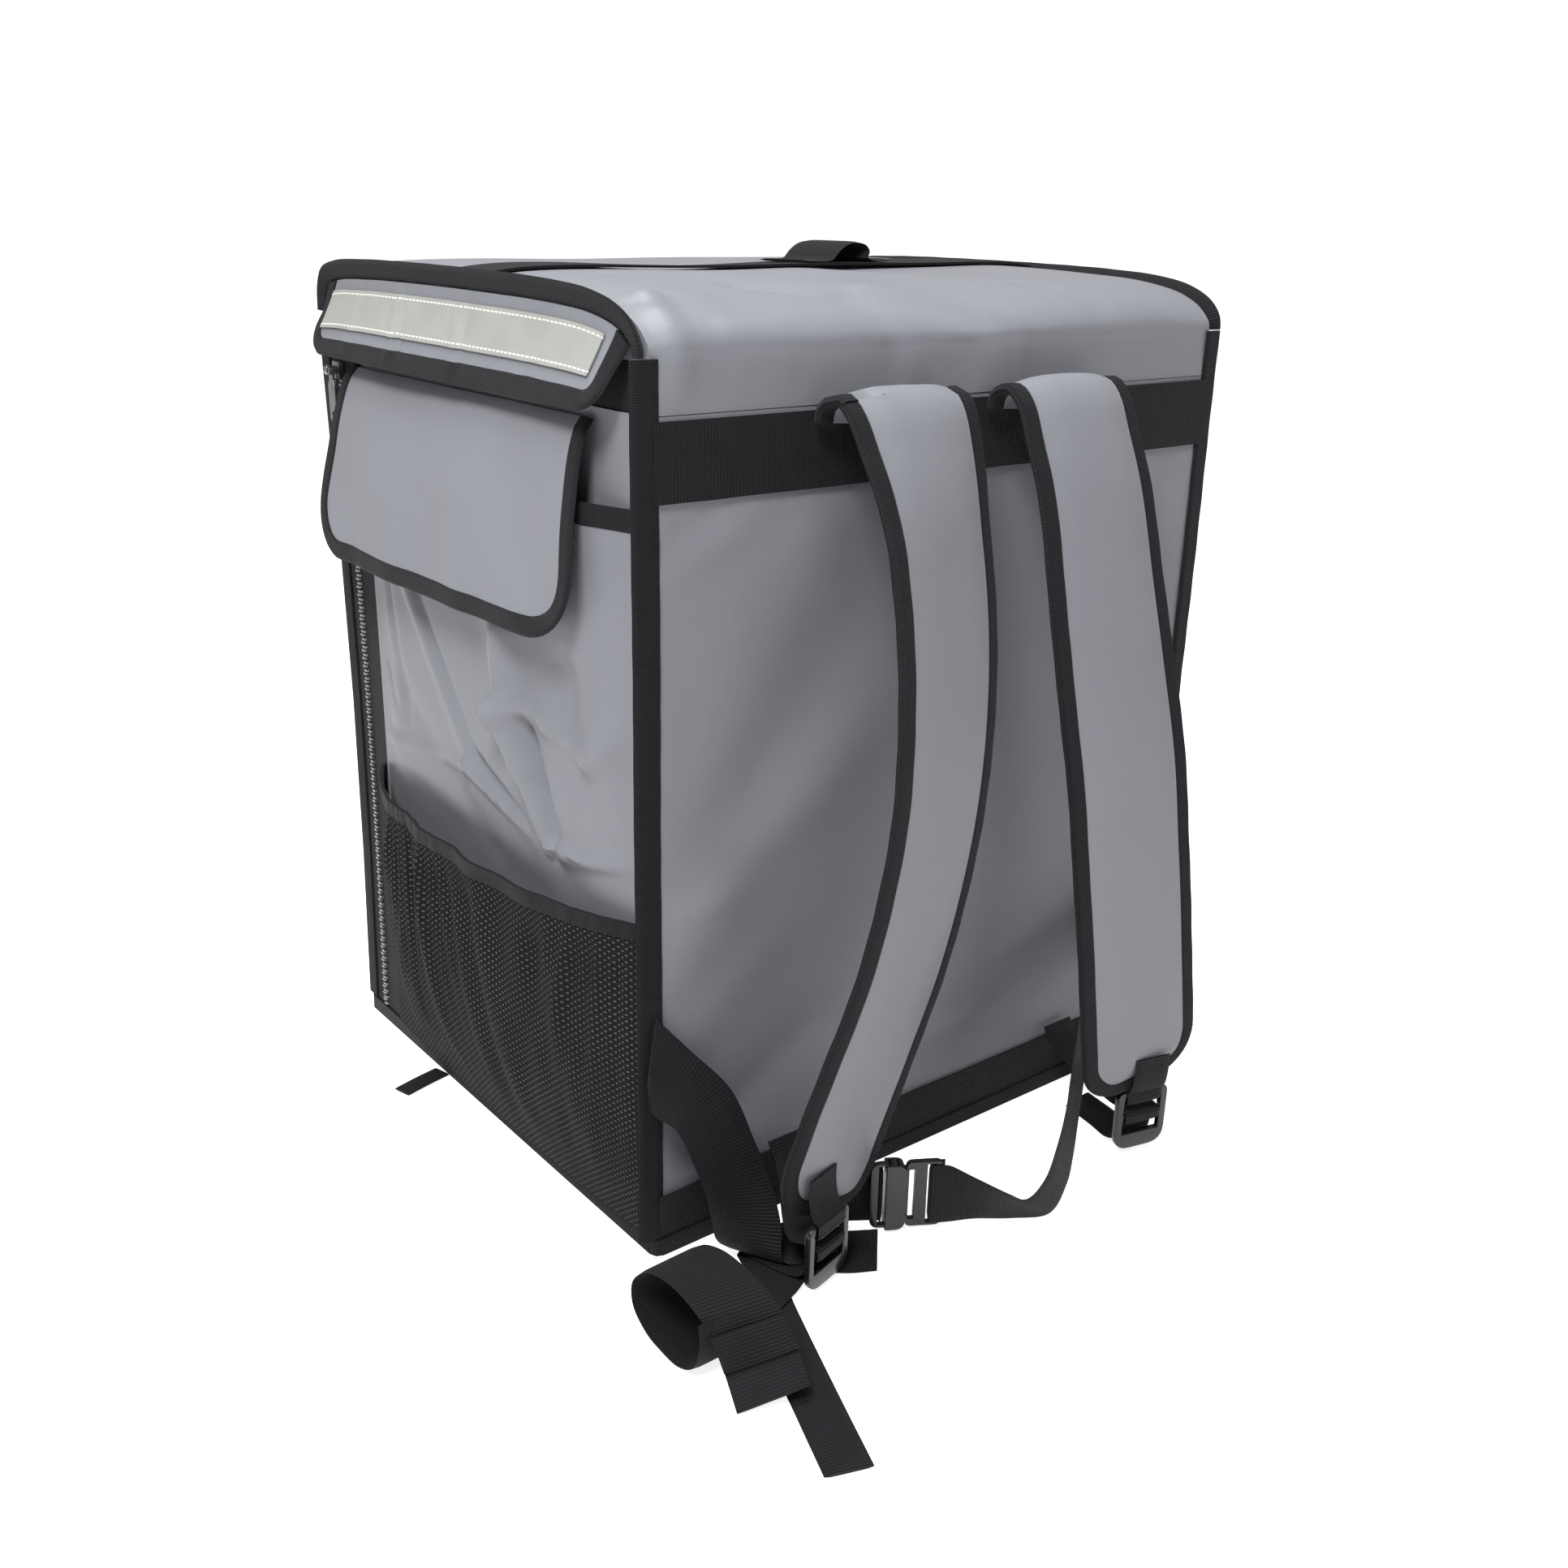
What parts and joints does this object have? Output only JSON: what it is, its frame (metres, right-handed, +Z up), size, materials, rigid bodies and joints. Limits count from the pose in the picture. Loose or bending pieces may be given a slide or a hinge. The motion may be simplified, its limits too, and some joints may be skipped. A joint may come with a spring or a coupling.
{
  "type": "insulated delivery backpack",
  "caption": "Box-shaped insulated backpack of coated cloth with a zipped lid, side pockets, padded shoulder straps, a buckled waist belt and a grab handle.",
  "frame": {"origin": "centre of the bag's base, on the floor", "axes": "+Z up; the strap panel faces -Y and the pocket side faces -X"},
  "size_m": [0.4646, 0.5673, 0.5274],
  "materials": {
    "coated_cloth": "satin",
    "black_webbing": "matte",
    "net": "matte",
    "reflective_tape": "satin",
    "plastic": "gloss",
    "metal": "satin"
  },
  "bodies": {
    "bag": {"adjuster_left": "black_webbing", "adjuster_right": "black_webbing", "arch_binding_left": "black_webbing", "arch_binding_right": "black_webbing", "base_binding": "black_webbing", "base_tab": "black_webbing", "belt_floor": "black_webbing", "belt_tail": "black_webbing", "body_shell": "coated_cloth", "bottom_band": "black_webbing", "buckle_female": "plastic", "buckle_male": "plastic", "corner_binding_1": "black_webbing", "corner_binding_2": "black_webbing", "corner_binding_3": "black_webbing", "corner_binding_4": "black_webbing", "grab_handle": "black_webbing", "ladder_lock_left": "plastic", "ladder_lock_right": "plastic", "lid": "coated_cloth", "lid_flap_front": "coated_cloth", "lid_flap_front_binding": "black_webbing", "lid_flap_left": "coated_cloth", "lid_flap_left_binding": "black_webbing", "lid_flap_right": "coated_cloth", "lid_flap_right_binding": "black_webbing", "lid_zip": "black_webbing", "mesh_elastic": "black_webbing", "mesh_pocket": "net", "pocket_flap": "coated_cloth", "pocket_flap_binding": "black_webbing", "pocket_mouth_binding": "black_webbing", "pocket_panel": "coated_cloth", "reflective_strip": "reflective_tape", "side_zip_tape": "black_webbing", "side_zip_teeth": "metal", "strap_left": "coated_cloth", "strap_left_binding": "black_webbing", "strap_left_tab": "black_webbing", "strap_right": "coated_cloth", "strap_right_binding": "black_webbing", "strap_right_tab": "black_webbing", "top_band": "black_webbing", "upper_band": "black_webbing", "waist_belt_left": "black_webbing", "waist_belt_right": "black_webbing", "zip_slider": "metal"},
    "puller": {"zip_puller": "metal"}
  },
  "joints": [
    {"name": "puller_swing", "type": "hinge", "parent": "bag", "child": "puller", "pos_m": [-0.2103, 0.1555, 0.447], "axis": [0, 1, 0], "range_deg": [-6, 95]}
  ]
}
